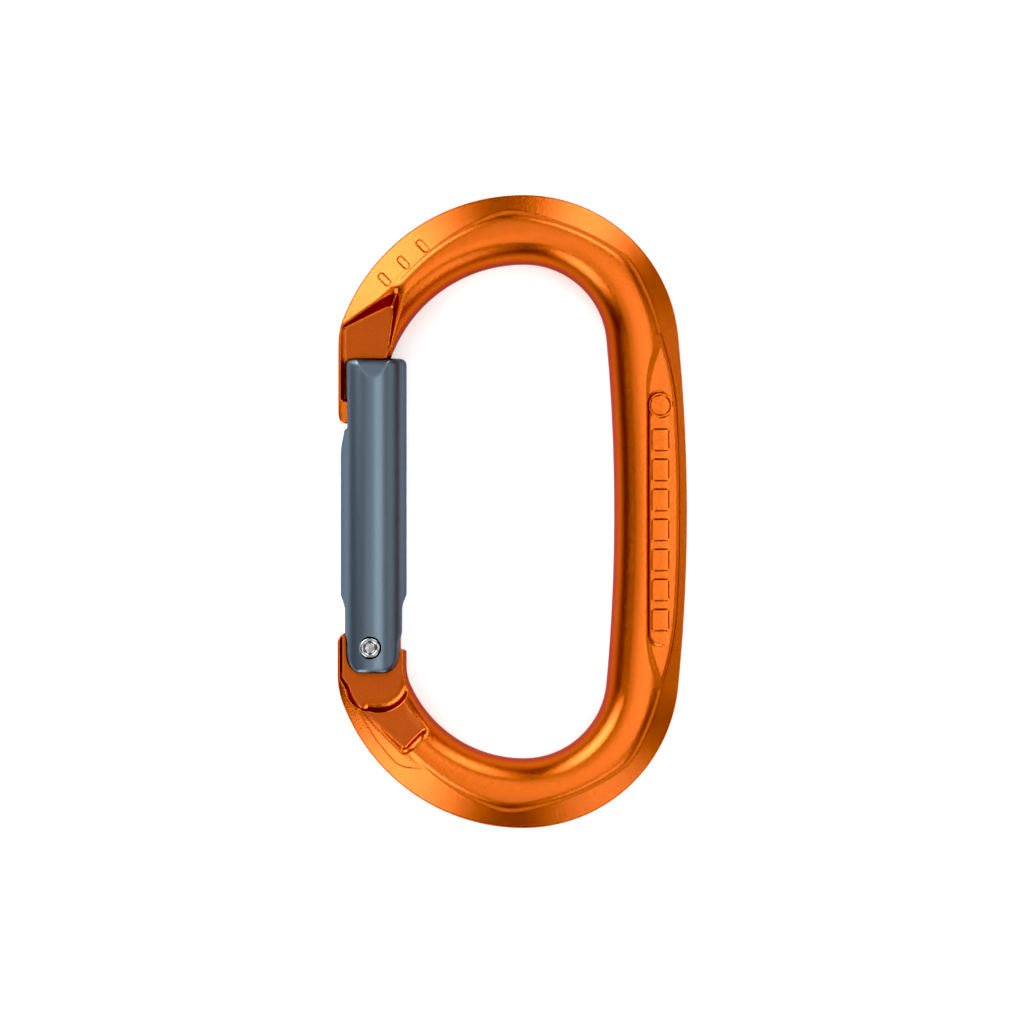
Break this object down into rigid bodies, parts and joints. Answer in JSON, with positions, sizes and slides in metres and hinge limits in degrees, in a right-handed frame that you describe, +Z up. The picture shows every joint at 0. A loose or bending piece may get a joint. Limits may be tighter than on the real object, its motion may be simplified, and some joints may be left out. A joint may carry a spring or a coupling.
{
  "type": "oval snapgate carabiner",
  "caption": "Oval non-locking carabiner with a forged round-bar body, a flanged outer edge and a spring-closed straight gate on a riveted hinge, latching on a keylock nose.",
  "frame": {"origin": "under the middle of the oval, on the surface that the carabiner lies on", "axes": "+X from the gate to the spine, +Y along the oval from the hinge end to the nose end, +Z up through the thickness"},
  "size_m": [0.0607, 0.11, 0.0122],
  "materials": {
    "orange_anodised": "orange anodised, semi-gloss",
    "grey_anodised": "blue-grey anodised, satin",
    "stainless": "bright stainless steel"
  },
  "bodies": {
    "body": {"body": "orange_anodised"},
    "gate": {"gate": "grey_anodised", "hinge_rivet": "stainless", "gate_spring": "stainless"},
    "plunger": {"spring_plunger": "stainless"}
  },
  "joints": [
    {"name": "gate_hinge", "type": "hinge", "parent": "body", "child": "gate", "pos_m": [-0.02467, -0.02362, 0.0061], "axis": [0, 0, -1], "range_deg": [0, 33], "stiffness_Nm_per_rad": 0.1, "springref_deg": -45.84},
    {"name": "plunger_slide", "type": "slide", "parent": "gate", "child": "plunger", "axis": [0, 1, 0], "range_m": [0, 0.0024], "deforming": ["gate_spring"]}
  ],
  "couplings": [
    {"joint": "plunger_slide", "follows": "gate_hinge", "m_per_rad": 0.00415}
  ]
}
